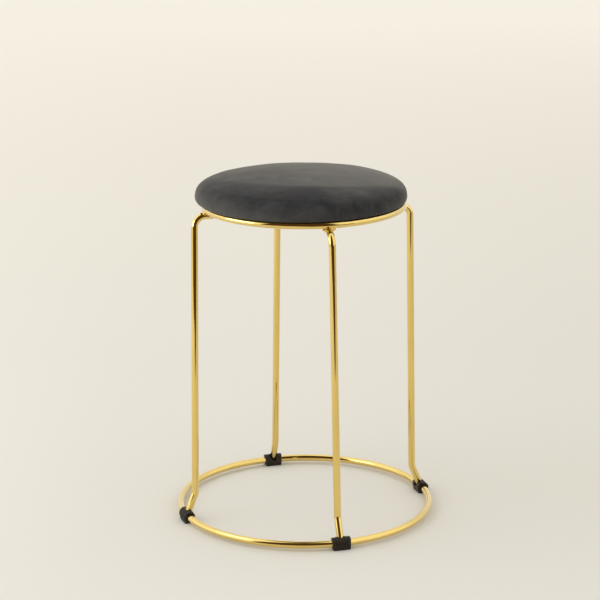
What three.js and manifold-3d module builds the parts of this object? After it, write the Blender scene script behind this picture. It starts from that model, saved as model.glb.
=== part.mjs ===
// Vanity stool: a round velvet cushion on a frame of bent, gold plated rods.
// Millimetres, +Z up. The origin is on the floor, under the middle of the base ring.
// The front leg stands towards -Y, the right leg towards +X.

import * as THREE from 'three';
import { mergeVertices } from 'three/addons/utils/BufferGeometryUtils.js';
import Module from 'manifold-3d';

const wasm = await Module();
wasm.setup();

// Gaps and cutting
const clearance = 0.3;
const overrun = 2;
const mergeDistance = 0.001;

// Rods and rings, all bent from one size of round bar
const rodDiameter = 10;
const baseRingRadius = 180;
const topRingRadius = 140.5;
const topRingHeight = 448.5;
const rodSides = 12;
const ringSegments = 72;

// Legs, on the rod's middle line: how far the arm runs in past the top ring, how far outside
// the top ring the knee stands, and how far inside the base ring the ankle does
const armPastRing = 12.5;
const kneeOutset = 15;
const kneeBend = 16;
const ankleInset = 16.6;
const ankleHeight = 40.5;
const ankleBend = 20;
const handSetOut = 2;
const bendSteps = 6;

// The legs are set by hand in the welding jig. Turns are in degrees from the square cross.
const legs = [
  { name: 'front', quarter: -1, topTurn: -1.9, footTurn: 0, ankleOut: 0 },
  { name: 'right', quarter: 0, topTurn: -1.5, footTurn: 2, ankleOut: handSetOut },
  { name: 'back', quarter: 1, topTurn: -1.5, footTurn: 0, ankleOut: 0 },
  { name: 'left', quarter: 2, topTurn: -3, footTurn: 5, ankleOut: handSetOut },
];

// Weld beads where a leg's arm crosses under the top ring
const weldLength = 22;
const weldWidth = 15;
const weldHeight = 11;
const weldSides = 10;

// Foot clips, moulded plastic, snapped round the base ring
const clipLength = 26;
const clipSole = 3.5;
const clipWall = 3.5;
const clipSoleWidth = 12.4;
const clipSlit = 0.8;
const clipSlitTurn = 118;
const clipShoulderTurn = 35;
const clipEdge = 0.7;
const clipGrooves = 5;
const clipGrooveWidth = 1;
const clipGrooveDepth = 0.5;
const clipGroovedShare = 0.62;
const notchWidth = 12;
const notchFloor = 2.3;
const notchInset = 3.5;
const clipOuterSteps = 7;
const clipInnerSteps = 4;
const clipBoreSteps = 12;
const clipBendSteps = 3;

// Cushion, on a plywood board
const seatOverhang = 8.1;
const seatRoll = 3.2;
const crownHeight = 34.5;
const crownSideShare = 5.3;
const crownTopShare = 2.9;
const crownDome = 5;
const crownDomeShare = 0.84;
const seatShift = 4;
const coverThickness = 1.2;
const hemPastScrews = 11.5;
const boardInset = 4;
const boardThickness = 9;
const boardEdge = 1.5;
const skirtLift = 1;
const dustOverlap = 20.5;
const dustThickness = 0.6;
const crownSteps = 7;
const rollSteps = 2;
const seatSegments = 44;

// Seat tabs inside the top ring, and the screws up through them into the board
const tabWidth = 18;
const tabThickness = 2.5;
const tabReach = 19.5;
const tabHoleDiameter = 5;
const tabSides = 12;
const screwDiameter = 4;
const screwHeadDiameter = 8.4;
const screwHeadHeight = 2.6;
const screwHeadCrown = 0.9;
const screwBite = 6.7;
const screwPoint = 2.4;
const screwRecessWidth = 1.1;
const screwRecessLength = 4.6;
const screwRecessDepth = 1.4;
const screwSides = 14;

// Staples that hold the hem and the dust cover to the board
const stapleCount = 12;
const stapleInset = 10.5;
const stapleCrown = 11;
const stapleLeg = 7.5;
const stapleWire = 0.9;

// Worked out from the sizes above
const rodRadius = rodDiameter / 2;
const armEndReach = topRingRadius - armPastRing;
const kneeReach = topRingRadius + kneeOutset;
const ankleReach = baseRingRadius - ankleInset;
const notchReach = baseRingRadius - notchInset;
const seatRadius = topRingRadius + seatOverhang;
const boardRadius = seatRadius - boardInset;
const domeRadius = seatRadius * crownDomeShare;
const tabHoleReach = topRingRadius - tabReach;
const hemReach = tabHoleReach - hemPastScrews;
const dustRadius = hemReach + dustOverlap;
const stapleReach = hemReach + stapleInset;
const baseRingHeight = clipSole + rodRadius;
const armHeight = topRingHeight - rodDiameter - clearance;
const hemHeight = topRingHeight + rodRadius + clearance;
const boardHeight = hemHeight + coverThickness + clearance;
const boardTop = boardHeight + boardThickness;
const dustTop = hemHeight - clearance;
const dustHeight = dustTop - dustThickness;
const tabTop = dustHeight - clearance;
const tabHeight = tabTop - tabThickness;
const cutRadius = rodRadius + clearance;
const holeRadius = screwDiameter / 2 + clearance;
const degrees = Math.PI / 180;
const quarterTurn = Math.PI / 2;
const fullTurn = Math.PI * 2;

// Finishes
const goldPlate = { color: 0xd8b65c, roughness: 0.14, metalness: 1 };
const weldGold = { color: 0xcfa94e, roughness: 0.28, metalness: 1 };
const velvet = { color: 0x3b3c3d, roughness: 0.95, metalness: 0 };
const foamWhite = { color: 0xe9e2c8, roughness: 0.95, metalness: 0 };
const plywood = { color: 0xb98f5e, roughness: 0.7, metalness: 0 };
const dustCloth = { color: 0x1d1d1f, roughness: 0.95, metalness: 0 };
const blackPlastic = { color: 0x161514, roughness: 0.55, metalness: 0 };
const zincSteel = { color: 0xb9bcc0, roughness: 0.35, metalness: 1 };

const stool = new THREE.Group();

function addPiece(name, geometry, finish) {
  const mesh = new THREE.Mesh(geometry, new THREE.MeshStandardMaterial(finish));
  mesh.name = name;
  stool.add(mesh);
  return mesh;
}

// A closed geometry with shared corners, no flat triangles and its faces outwards
function closed(source) {
  const bare = new THREE.BufferGeometry();
  bare.setAttribute('position', source.getAttribute('position').clone());
  if (source.index) bare.setIndex(source.index.clone());
  const merged = mergeVertices(bare, mergeDistance);
  const corners = merged.getAttribute('position');
  const [a, b, c] = [new THREE.Vector3(), new THREE.Vector3(), new THREE.Vector3()];
  const faces = [];
  let volume = 0;
  for (let i = 0; i < merged.index.count; i += 3) {
    const face = [0, 1, 2].map((k) => merged.index.getX(i + k));
    if (new Set(face).size < 3) continue;
    a.fromBufferAttribute(corners, face[0]);
    b.fromBufferAttribute(corners, face[1]);
    c.fromBufferAttribute(corners, face[2]);
    volume += a.dot(b.cross(c));
    faces.push(face);
  }
  merged.setIndex((volume < 0 ? faces.map((face) => face.reverse()) : faces).flat());
  merged.computeVertexNormals();
  return merged;
}

function toSolid(geometry) {
  const clean = closed(geometry);
  return new wasm.Manifold(new wasm.Mesh({
    numProp: 3,
    vertProperties: new Float32Array(clean.getAttribute('position').array),
    triVerts: new Uint32Array(clean.index.array),
  }));
}

function toGeometry(solid) {
  const mesh = solid.getMesh();
  const geometry = new THREE.BufferGeometry();
  geometry.setAttribute('position', new THREE.BufferAttribute(new Float32Array(mesh.vertProperties), 3));
  geometry.setIndex(Array.from(mesh.triVerts));
  geometry.computeVertexNormals();
  return geometry;
}

function cut(geometry, cutters) {
  return toGeometry(cutters.reduce((solid, cutter) => solid.subtract(toSolid(cutter)), toSolid(geometry)));
}

// Turns a profile of reach and height round the stool's axis
function turned(points, segments) {
  return closed(new THREE.LatheGeometry(points, segments).rotateX(quarterTurn));
}

function point(reach, height) {
  return new THREE.Vector2(reach, height);
}

function arc(middle, radius, from, to, steps) {
  return Array.from({ length: steps + 1 }, (_, i) => {
    const turn = from + ((to - from) * i) / steps;
    return point(middle.x + radius * Math.cos(turn), middle.y + radius * Math.sin(turn));
  });
}

function outline(points) {
  return new THREE.Shape(points);
}

// Rings

function ring(ringRadius, height, sectionRadius) {
  const section = arc(point(ringRadius, height), sectionRadius, 0, fullTurn, rodSides);
  section[rodSides].copy(section[0]);
  return turned(section, ringSegments);
}

// Legs

// The stations of a middle line through corners, with an arc at each inner corner
function bentLine(corners, bends) {
  const stations = [];
  corners.forEach((corner, i) => {
    if (i === 0 || i === corners.length - 1) {
      const inner = corners[i === 0 ? 1 : i - 1];
      const along = i === 0 ? inner.clone().sub(corner) : corner.clone().sub(inner);
      stations.push({ place: corner, along: along.normalize() });
      return;
    }
    const before = corner.clone().sub(corners[i - 1]).normalize();
    const after = corners[i + 1].clone().sub(corner).normalize();
    const turn = Math.atan2(before.cross(after), before.dot(after));
    const setback = bends[i - 1] * Math.tan(Math.abs(turn) / 2);
    const start = corner.clone().addScaledVector(before, -setback);
    const side = point(-before.y, before.x).multiplyScalar(Math.sign(turn));
    const middle = start.clone().addScaledVector(side, bends[i - 1]);
    for (let k = 0; k <= bendSteps; k += 1) {
      const bent = (turn * k) / bendSteps;
      const place = start.clone().rotateAround(middle, bent);
      stations.push({ place, along: before.clone().rotateAround(point(0, 0), bent) });
    }
  });
  return stations;
}

// A path for ExtrudeGeometry that steps exactly from station to station
class RodPath extends THREE.Curve {
  constructor(places, tangents) {
    super();
    this.places = places;
    this.tangents = tangents;
  }

  pick(list, share, target) {
    return target.copy(list[Math.round(share * (list.length - 1))]);
  }

  getPointAt(share, target = new THREE.Vector3()) {
    return this.pick(this.places, share, target);
  }

  getTangentAt(share, target = new THREE.Vector3()) {
    return this.pick(this.tangents, share, target);
  }
}

function legRod({ quarter, topTurn, footTurn, ankleOut }, sectionRadius) {
  const plane = quarter * quarterTurn + topTurn * degrees;
  const lean = (footTurn - topTurn) * degrees;
  const footReach = baseRingRadius * Math.cos(lean);
  const footSideways = baseRingRadius * Math.sin(lean);
  const fall = armHeight - baseRingHeight;
  const ankle = point(ankleReach + ankleOut, ankleHeight);
  const foot = point(footReach, baseRingHeight);
  const backUp = ankle.clone().sub(foot).normalize();
  // Only a cutter reaches the ring's middle, so the rod's flat end stays inside the ring's cut
  foot.addScaledVector(backUp, cutRadius - sectionRadius);
  const corners = [point(armEndReach, armHeight), point(kneeReach, armHeight), ankle, foot];
  const outwards = new THREE.Vector3(Math.cos(plane), Math.sin(plane), 0);
  const sideways = new THREE.Vector3(-Math.sin(plane), Math.cos(plane), 0);
  const up = new THREE.Vector3(0, 0, 1);
  const places = [];
  const tangents = [];
  bentLine(corners, [kneeBend, ankleBend]).forEach(({ place, along }) => {
    places.push(new THREE.Vector3()
      .addScaledVector(outwards, place.x)
      .addScaledVector(sideways, (footSideways * (armHeight - place.y)) / fall)
      .addScaledVector(up, place.y));
    tangents.push(new THREE.Vector3()
      .addScaledVector(outwards, along.x)
      .addScaledVector(sideways, (-footSideways * along.y) / fall)
      .addScaledVector(up, along.y)
      .normalize());
  });
  const section = outline(arc(point(0, 0), sectionRadius, 0, fullTurn, rodSides).slice(0, rodSides));
  return closed(new THREE.ExtrudeGeometry(section, {
    steps: places.length - 1,
    extrudePath: new RodPath(places, tangents),
    bevelEnabled: false,
  }));
}

// Where a leg's arm runs under the top ring
function crossing({ quarter, topTurn }) {
  const plane = quarter * quarterTurn + topTurn * degrees;
  return { plane, height: (topRingHeight + armHeight) / 2 };
}

function weldBead(leg, topRingCutter, legCutter) {
  const { plane, height } = crossing(leg);
  const bead = new THREE.SphereGeometry(1, weldSides, weldSides / 2)
    .scale(weldWidth / 2, weldLength / 2, weldHeight / 2)
    .translate(topRingRadius, 0, height)
    .rotateZ(plane);
  return cut(bead, [topRingCutter, legCutter]);
}

// Foot clips

// The clip's section across the ring: reach and height from the rod's middle
function clipOutline() {
  const outer = rodRadius + clipWall;
  const bore = cutRadius / Math.cos(Math.PI / clipBoreSteps);
  const slit = clipSlitTurn * degrees;
  const shoulder = clipShoulderTurn * degrees;
  const soleHalf = clipSoleWidth / 2;
  const half = clipSlit / 2;
  const middle = point(0, 0);
  return [
    ...arc(middle, outer, slit - half / outer, -shoulder, clipOuterSteps),
    point(soleHalf + clipEdge, -baseRingHeight + clipEdge),
    point(soleHalf, -baseRingHeight),
    point(-soleHalf, -baseRingHeight),
    point(-soleHalf - clipEdge, -baseRingHeight + clipEdge),
    ...arc(middle, outer, shoulder - Math.PI, slit + half / outer - fullTurn, clipInnerSteps),
    ...arc(middle, bore, slit + half / bore - fullTurn, slit - half / bore, clipBoreSteps),
  ];
}

// Places along the clip, with how far the outer wall is drawn in at each
function clipStations() {
  const straight = clipLength - 2 * clipEdge;
  const middles = Array.from({ length: clipBendSteps + 1 }, (_, i) => (
    { along: clipEdge + (straight * i) / clipBendSteps, drawnIn: 0 }
  ));
  return [{ along: 0, drawnIn: clipEdge }, ...middles, { along: clipLength, drawnIn: clipEdge }];
}

function clipSleeve(turn) {
  const stations = clipStations();
  const steps = stations.length - 1;
  const section = outline(clipOutline());
  const sleeve = new THREE.ExtrudeGeometry(section, { depth: 1, steps, bevelEnabled: false });
  const corners = sleeve.getAttribute('position');
  const wall = rodRadius + clipWall / 2;
  for (let i = 0; i < corners.count; i += 1) {
    const station = stations[Math.round(corners.getZ(i) * steps)];
    const place = point(corners.getX(i), corners.getY(i));
    const onOutside = place.length() > wall;
    const onSole = place.y < -rodRadius;
    if (onOutside && !onSole) place.setLength(place.length() - station.drawnIn);
    const bearing = turn + (station.along - clipLength / 2) / baseRingRadius;
    const reach = baseRingRadius + place.x;
    corners.setXYZ(i, reach * Math.cos(bearing), reach * Math.sin(bearing), baseRingHeight + place.y);
  }
  return closed(sleeve);
}

// The shallow grooves down the clip's outer face
function clipGroovesAt(turn) {
  const outer = rodRadius + clipWall;
  const middle = point(0, 0);
  const top = quarterTurn;
  const bottom = -clipShoulderTurn * degrees;
  const section = outline([
    ...arc(middle, outer - clipGrooveDepth, top, bottom, clipOuterSteps - 1),
    ...arc(middle, outer + overrun, bottom, top, clipOuterSteps - 1),
  ]);
  const grooved = clipLength * clipGroovedShare;
  return Array.from({ length: clipGrooves }, (_, i) => {
    const along = grooved * (i / (clipGrooves - 1) - 1 / 2);
    return new THREE.ExtrudeGeometry(section, { depth: clipGrooveWidth, bevelEnabled: false })
      .translate(0, 0, -clipGrooveWidth / 2)
      .rotateX(quarterTurn)
      .translate(baseRingRadius, 0, baseRingHeight)
      .rotateZ(turn + along / baseRingRadius);
  });
}

// The notch in the clip's top and inner wall that the leg comes down through
function clipNotch(turn) {
  const radius = notchWidth / 2;
  const top = rodRadius + clipWall + overrun;
  const floor = notchFloor + radius;
  const profile = outline([
    point(-radius, top),
    ...arc(point(0, floor), radius, -Math.PI, 0, rodSides / 2),
    point(radius, top),
  ]);
  const inwards = notchReach - (baseRingRadius - rodRadius - clipWall - overrun);
  const channel = new THREE.ExtrudeGeometry(profile, { depth: inwards, bevelEnabled: false })
    .rotateX(quarterTurn)
    .rotateZ(quarterTurn)
    .translate(notchReach - inwards, 0, baseRingHeight)
    .rotateZ(turn);
  const shaft = new THREE.CylinderGeometry(radius, radius, top, rodSides)
    .rotateX(quarterTurn)
    .translate(notchReach, 0, baseRingHeight + top / 2)
    .rotateZ(turn);
  return [channel, shaft];
}

// Cushion

// How far the crown stands above the cushion's widest line at a reach from the axis
function crownRise(reach, side, rise) {
  const full = (1 - (reach / side) ** crownSideShare) ** (1 / crownTopShare);
  const dome = (1 - Math.min(reach / domeRadius, 1) ** 2) ** 2;
  return rise * full + crownDome * dome;
}

// The cushion's side and crown, drawn in by a depth, from its underside to the axis
function cushionLine(depth) {
  const side = seatRadius - depth;
  const widest = hemHeight + seatRoll;
  const rise = crownHeight - seatRoll - depth;
  const roll = arc(point(seatRadius - seatRoll, widest), seatRoll - depth, -quarterTurn, 0, rollSteps);
  const reaches = Array.from({ length: crownSteps - 1 }, (_, i) => {
    const turn = (quarterTurn * (i + 1)) / crownSteps;
    return side * Math.cos(turn) ** (2 / crownSideShare);
  });
  reaches.push(reaches[reaches.length - 1] / 2, 0);
  const crown = reaches.map((reach) => point(reach, widest + crownRise(reach, side, rise)));
  return [...roll, ...crown];
}

function seatCover() {
  const inside = cushionLine(coverThickness).reverse();
  return turned([
    ...inside,
    point(hemReach, hemHeight + coverThickness),
    point(hemReach, hemHeight),
    ...cushionLine(0),
  ], seatSegments);
}

function seatFoam() {
  const depth = coverThickness + clearance;
  const skirt = boardHeight + skirtLift;
  const inner = boardRadius + clearance;
  const middle = point(seatRadius - seatRoll, hemHeight + seatRoll);
  const start = Math.asin((skirt - middle.y) / (seatRoll - depth));
  const line = cushionLine(depth).slice(rollSteps + 1);
  return turned([
    point(0, boardTop + clearance),
    point(inner, boardTop + clearance),
    point(inner, skirt),
    ...arc(middle, seatRoll - depth, start, 0, 1),
    ...line,
  ], seatSegments);
}

function seatBoard() {
  return turned([
    point(0, boardHeight),
    point(boardRadius - boardEdge, boardHeight),
    point(boardRadius, boardHeight + boardEdge),
    point(boardRadius, boardTop - boardEdge),
    point(boardRadius - boardEdge, boardTop),
    point(0, boardTop),
  ], seatSegments);
}

function dustCover() {
  return turned([
    point(0, dustHeight),
    point(dustRadius, dustHeight),
    point(dustRadius, dustTop),
    point(0, dustTop),
  ], seatSegments);
}

// Seat tabs and screws, halfway between the legs

function tabTurn(index) {
  return (index + 1 / 2) * quarterTurn;
}

function seatTab(turn, topRingCutter) {
  const half = tabWidth / 2;
  const plate = outline([
    ...arc(point(tabHoleReach, 0), half, quarterTurn, 3 * quarterTurn, tabSides),
    point(topRingRadius, -half),
    point(topRingRadius, half),
  ]);
  plate.holes.push(new THREE.Path(
    arc(point(tabHoleReach, 0), tabHoleDiameter / 2, 0, fullTurn, tabSides).slice(0, tabSides),
  ));
  const tab = new THREE.ExtrudeGeometry(plate, { depth: tabThickness, bevelEnabled: false })
    .translate(0, 0, tabHeight)
    .rotateZ(turn);
  return cut(tab, [topRingCutter]);
}

function placedUpright(geometry, reach, turn) {
  return geometry.translate(reach, 0, 0).rotateZ(turn);
}

function seatScrew(turn) {
  const headTop = tabHeight - clearance;
  const headBottom = headTop - screwHeadHeight;
  const head = screwHeadDiameter / 2;
  const shank = screwDiameter / 2;
  const tip = boardHeight + screwBite;
  const body = turned([
    point(0, headBottom),
    point(head - screwHeadCrown, headBottom),
    point(head, headBottom + screwHeadCrown),
    point(head, headTop),
    point(shank, headTop),
    point(shank, tip - screwPoint),
    point(0, tip),
  ], screwSides);
  const slots = [0, quarterTurn].map((slotTurn) => new THREE.BoxGeometry(
    screwRecessLength,
    screwRecessWidth,
    screwRecessDepth * 2,
  ).rotateZ(slotTurn).translate(0, 0, headBottom));
  return placedUpright(cut(body, slots), tabHoleReach, turn);
}

// The hole that a screw takes through the dust cover, the hem and into the board
function screwHole(turn) {
  const depth = boardHeight + screwBite + clearance - tabHeight;
  const hole = new THREE.CylinderGeometry(holeRadius, holeRadius, depth, tabSides)
    .rotateX(quarterTurn)
    .translate(0, 0, tabHeight + depth / 2);
  return placedUpright(hole, tabHoleReach, turn);
}

// Staples

function stapleTurn(index) {
  return (index * fullTurn) / stapleCount;
}

function staple(turn) {
  const half = stapleCrown / 2;
  const inner = half - stapleWire;
  const crown = dustHeight - clearance;
  const bend = outline([
    point(-half, crown - stapleWire),
    point(half, crown - stapleWire),
    point(half, crown + stapleLeg),
    point(inner, crown + stapleLeg),
    point(inner, crown),
    point(-inner, crown),
    point(-inner, crown + stapleLeg),
    point(-half, crown + stapleLeg),
  ]);
  const wire = new THREE.ExtrudeGeometry(bend, { depth: stapleWire, bevelEnabled: false })
    .translate(0, 0, -stapleWire / 2)
    .rotateX(quarterTurn)
    .rotateZ(quarterTurn);
  return closed(placedUpright(wire, stapleReach, turn).translate(-seatShift, 0, 0));
}

function stapleHoles(turn) {
  const width = stapleWire + clearance * 2;
  const depth = stapleLeg + stapleWire + clearance * 2;
  const offset = (stapleCrown - stapleWire) / 2;
  return [-offset, offset].map((sideways) => placedUpright(
    new THREE.BoxGeometry(width, width, depth)
      .translate(0, sideways, dustHeight - clearance * 2 + depth / 2),
    stapleReach,
    turn,
  ).translate(-seatShift, 0, 0));
}

// Frame
const baseRingCutter = ring(baseRingRadius, baseRingHeight, cutRadius);
const topRingCutter = ring(topRingRadius, topRingHeight, cutRadius);
addPiece('base_ring', ring(baseRingRadius, baseRingHeight, rodRadius), goldPlate);
addPiece('top_ring', ring(topRingRadius, topRingHeight, rodRadius), goldPlate);
legs.forEach((leg) => {
  const legCutter = legRod(leg, cutRadius);
  const clipTurn = leg.quarter * quarterTurn + leg.footTurn * degrees;
  addPiece(`leg_${leg.name}`, cut(legRod(leg, rodRadius), [baseRingCutter]), goldPlate);
  addPiece(`weld_${leg.name}`, weldBead(leg, topRingCutter, legCutter), weldGold);
  const clipCuts = [...clipGroovesAt(clipTurn), ...clipNotch(clipTurn), legCutter];
  const clip = cut(clipSleeve(clipTurn), clipCuts);
  addPiece(`foot_clip_${leg.name}`, clip, blackPlastic);
});

// Seat fixings
const quarters = [0, 1, 2, 3];
quarters.forEach((index) => {
  addPiece(`seat_tab_${index + 1}`, seatTab(tabTurn(index), topRingCutter), goldPlate);
  addPiece(`seat_screw_${index + 1}`, seatScrew(tabTurn(index)), zincSteel);
});

// Seat
const staples = Array.from({ length: stapleCount }, (_, index) => stapleTurn(index));
const screwHoles = quarters.map((index) => screwHole(tabTurn(index)));
const seatHoles = [...screwHoles, ...staples.flatMap(stapleHoles)];
addPiece('seat_board', cut(seatBoard().translate(-seatShift, 0, 0), seatHoles), plywood);
addPiece('seat_foam', seatFoam().translate(-seatShift, 0, 0), foamWhite);
addPiece('seat_cover', cut(seatCover().translate(-seatShift, 0, 0), seatHoles), velvet);
addPiece('dust_cover', cut(dustCover().translate(-seatShift, 0, 0), seatHoles), dustCloth);
staples.forEach((turn, index) => {
  addPiece(`staple_${String(index + 1).padStart(2, '0')}`, staple(turn), zincSteel);
});

export default stool;
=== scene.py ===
import math

import bmesh
import bpy
from mathutils import Matrix, Vector, noise


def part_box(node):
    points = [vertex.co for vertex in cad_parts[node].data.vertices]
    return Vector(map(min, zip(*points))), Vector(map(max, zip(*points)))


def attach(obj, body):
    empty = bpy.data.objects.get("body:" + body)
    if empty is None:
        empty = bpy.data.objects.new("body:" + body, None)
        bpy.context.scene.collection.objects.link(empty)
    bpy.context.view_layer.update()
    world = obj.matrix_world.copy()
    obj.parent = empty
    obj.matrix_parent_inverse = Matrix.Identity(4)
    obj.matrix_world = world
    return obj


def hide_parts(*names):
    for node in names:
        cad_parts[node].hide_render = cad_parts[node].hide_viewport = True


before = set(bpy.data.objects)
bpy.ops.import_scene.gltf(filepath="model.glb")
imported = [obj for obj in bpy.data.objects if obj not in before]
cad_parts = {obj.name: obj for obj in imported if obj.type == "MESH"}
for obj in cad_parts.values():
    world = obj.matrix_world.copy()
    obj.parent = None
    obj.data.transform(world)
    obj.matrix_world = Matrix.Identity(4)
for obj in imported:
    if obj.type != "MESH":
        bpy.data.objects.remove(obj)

bl_info = {
    "name": "Vanity Stool",
    "version": (1, 0, 0),
    "blender": (4, 5, 0),
    "location": "View3D > Sidebar > Stool",
    "description": "Builds a round velvet stool on a gold plated rod frame, piece by piece",
    "category": "Object",
}

# The part stands on the floor at the origin, in metres. The front leg stands towards -Y and
# the right leg towards +X. Every piece is one body, so everything rides on the root.
BODY = "root"
MM = 0.001
TURN = 2 * math.pi
QUARTER = math.pi / 2
UP = Vector((0, 0, 1))

# The frame's own sizes
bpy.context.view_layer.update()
RING_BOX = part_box("base_ring")
TOP_RING_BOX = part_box("top_ring")
COVER_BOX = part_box("seat_cover")
DUST_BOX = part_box("dust_cover")
BOARD_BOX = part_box("seat_board")
TAB_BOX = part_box("seat_tab_1")
SCREW_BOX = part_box("seat_screw_1")
ROD_RADIUS = (TOP_RING_BOX[1].z - TOP_RING_BOX[0].z) / 2
BASE_RING_RADIUS = RING_BOX[1].x - ROD_RADIUS
BASE_RING_HEIGHT = RING_BOX[0].z + ROD_RADIUS
TOP_RING_RADIUS = TOP_RING_BOX[1].x - ROD_RADIUS
TOP_RING_HEIGHT = TOP_RING_BOX[0].z + ROD_RADIUS
SEAT_MIDDLE = (COVER_BOX[0] + COVER_BOX[1]) / 2
SEAT_RADIUS = (COVER_BOX[1].y - COVER_BOX[0].y) / 2
HEM_HEIGHT = COVER_BOX[0].z
CROWN_TOP = COVER_BOX[1].z
SEAT_PLACE = Matrix.Translation((SEAT_MIDDLE.x, SEAT_MIDDLE.y, 0))

HAND_SET_OUT = 2 * MM

# Each leg's quarter turn, the turn of its arm and of its foot from there, in degrees, and how
# much further out its ankle is set
LEGS = {
    "front": (-1, -1.9, 0, 0),
    "right": (0, -1.5, 2, HAND_SET_OUT),
    "back": (1, -1.5, 0, 0),
    "left": (2, -3, 5, HAND_SET_OUT),
}
TAB_NUMBERS = (1, 2, 3, 4)
STAPLE_COUNT = 12
MERGE_DISTANCE = 0.001 * MM


# Sizes and colours that a user can change

def Length(name, description, millimetres):
    """A length, its default given in millimetres"""
    return bpy.props.FloatProperty(
        name=name, description=description, default=millimetres * MM, subtype="DISTANCE",
        unit="LENGTH")


def Angle(name, description, degrees):
    """An angle, its default given in degrees"""
    return bpy.props.FloatProperty(
        name=name, description=description, default=math.radians(degrees), subtype="ANGLE",
        unit="ROTATION")


def Color(name, description, default):
    """A colour"""
    return bpy.props.FloatVectorProperty(
        name=name, description=description, default=default, subtype="COLOR", size=3)


def Number(name, description, default):
    """A share, a power or a strength, which has no unit"""
    return bpy.props.FloatProperty(name=name, description=description, default=default)


class StoolFrameSizes(bpy.types.PropertyGroup):
    """Sizes of the rods, welds, tabs and screws"""

    arm_past_ring: Length("Arm past ring", "How far a leg's arm runs in past the top ring", 12.5)
    knee_outset: Length("Knee outset", "How far outside the top ring a knee stands", 15)
    knee_bend: Length("Knee bend", "Radius of a knee on the rod's middle line", 16)
    ankle_inset: Length("Ankle inset", "How far inside the base ring an ankle stands", 16.6)
    ankle_height: Length("Ankle height", "Height of a leg's lower bend", 40.5)
    ankle_bend: Length("Ankle bend", "Radius of a leg's lower bend", 20)
    crossing_gap: Length("Crossing gap", "Gap between the top ring and a leg's arm", 0.3)
    weld_length: Length("Weld length", "Length of a weld bead along the top ring", 20)
    weld_width: Length("Weld width", "Width of a weld bead across the top ring", 10.6)
    weld_height: Length("Weld height", "Height of a weld bead", 9.5)
    weld_inset: Length(
        "Weld inset", "How far in from the top ring's middle line a bead's middle lies", 1.6)
    tab_width: Length("Tab width", "Width of a seat tab", 18)
    tab_reach: Length("Tab reach", "How far inside the top ring a tab's hole lies", 19.5)
    tab_hole: Length("Tab hole", "Diameter of the hole in a seat tab", 5)
    screw_head: Length("Screw head", "Diameter of a screw's head", 8.4)
    screw_shank: Length("Screw shank", "Diameter of a screw's shank", 4)


class StoolClipSizes(bpy.types.PropertyGroup):
    """Sizes of the foot clips"""

    length: Length("Length", "Length of a clip along the base ring", 26)
    wall: Length("Wall", "Wall of a clip round the rod", 3.5)
    sole_width: Length("Sole width", "Width of a clip's flat sole", 12.4)
    groove_count: bpy.props.IntProperty(
        name="Grooves", description="Grooves down a clip's outer face", default=5)
    groove_depth: Length("Groove depth", "Depth of a clip's grooves", 1.2)
    groove_width: Length("Groove width", "Width of a clip's grooves", 2.2)
    notch_width: Length("Notch width", "Width of the notch that the leg comes down through", 12)
    notch_floor: Length("Notch floor", "Height of the notch's floor above the rod's middle", 2.3)
    notch_inset: Length("Notch inset", "How far inside the base ring the notch's end is centred", 3.5)
    rim: Length("Rim", "How far the notch's moulded rim stands up", 0.55)
    edge: Length("Edge", "Radius of a clip's rounded edges", 0.7)
    waist: Length("Waist", "How far a clip's ends draw in at half its height", 1.6)
    toe: Length("Toe", "How far a clip's ends draw in at its sole", 1.6)
    slit: Length("Slit", "Width of the slit by which a clip snaps on", 0.8)
    slit_turn: Angle("Slit turn", "Where the slit lies, up from the outside", 118)
    shoulder_turn: Angle("Shoulder turn", "Where the round wall gives way to the sole", 35)
    grooved_share: Number(
        "Grooved share", "Share of a clip's length from its first groove to its last", 0.62)


class StoolCushionSizes(bpy.types.PropertyGroup):
    """Sizes of the cushion and of what is under it"""

    roll: Length("Roll", "Radius where the cushion's side turns under", 3.2)
    side_share: Number("Side fullness", "Power of the crown's outline across", 5.3)
    top_share: Number("Top fullness", "Power of the crown's outline upwards", 2.9)
    dome: Length("Dome", "How far the crown's middle is domed", 5)
    dome_share: Number("Dome share", "Share of the cushion's radius that is domed", 0.84)
    swell_cap: Length("Swell cap", "The furthest that the pad's crown may swell", 2)
    shrink: Length("Shrink", "How much larger the pad is drawn, for what remeshing takes off", 0.35)
    dent_cap: Length("Dent cap", "The furthest that a point of the pad may sink in", 0.4)
    voxel: Length("Voxel", "Voxel size for the pad's simulated mesh", 4.5)
    dust_sag: Length("Dust cover sag", "How far the dust cover sags between its staples", 0.9)
    staple_crown: Length("Staple crown", "Length of a staple's crown", 11)
    staple_wire: Length("Staple wire", "Thickness of a staple's wire", 0.9)
    staple_reach: Length("Staple reach", "How far from the seat's middle the staples lie", 120)


class StoolFinishes(bpy.types.PropertyGroup):
    """Colours of the stool's finishes"""

    gold: Color("Gold", "Colour of the gold plating", (0.82, 0.6, 0.172))
    # The darker velvet colour is both the velvet's darker random patches and its painted shade in front
    # and at the side; the lighter one is both its brushed patches and its painted sheen on the crown
    velvet: Color("Velvet", "Colour of the velvet's darker nap", (0.019, 0.0195, 0.0225))
    velvet_sheen_and_brushed: Color(
        "Brushed velvet", "Colour where the velvet's nap is brushed up", (0.118, 0.114, 0.105))
    plastic: Color("Clip plastic", "Colour of the foot clips", (0.017, 0.0125, 0.008))
    dust_cloth: Color("Dust cloth", "Colour of the cloth under the seat", (0.014, 0.014, 0.016))
    steel: Color("Steel", "Colour of the screws and staples", (0.55, 0.56, 0.58))
    plywood: Color("Plywood", "Colour of the seat board", (0.5, 0.3, 0.14))


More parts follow.
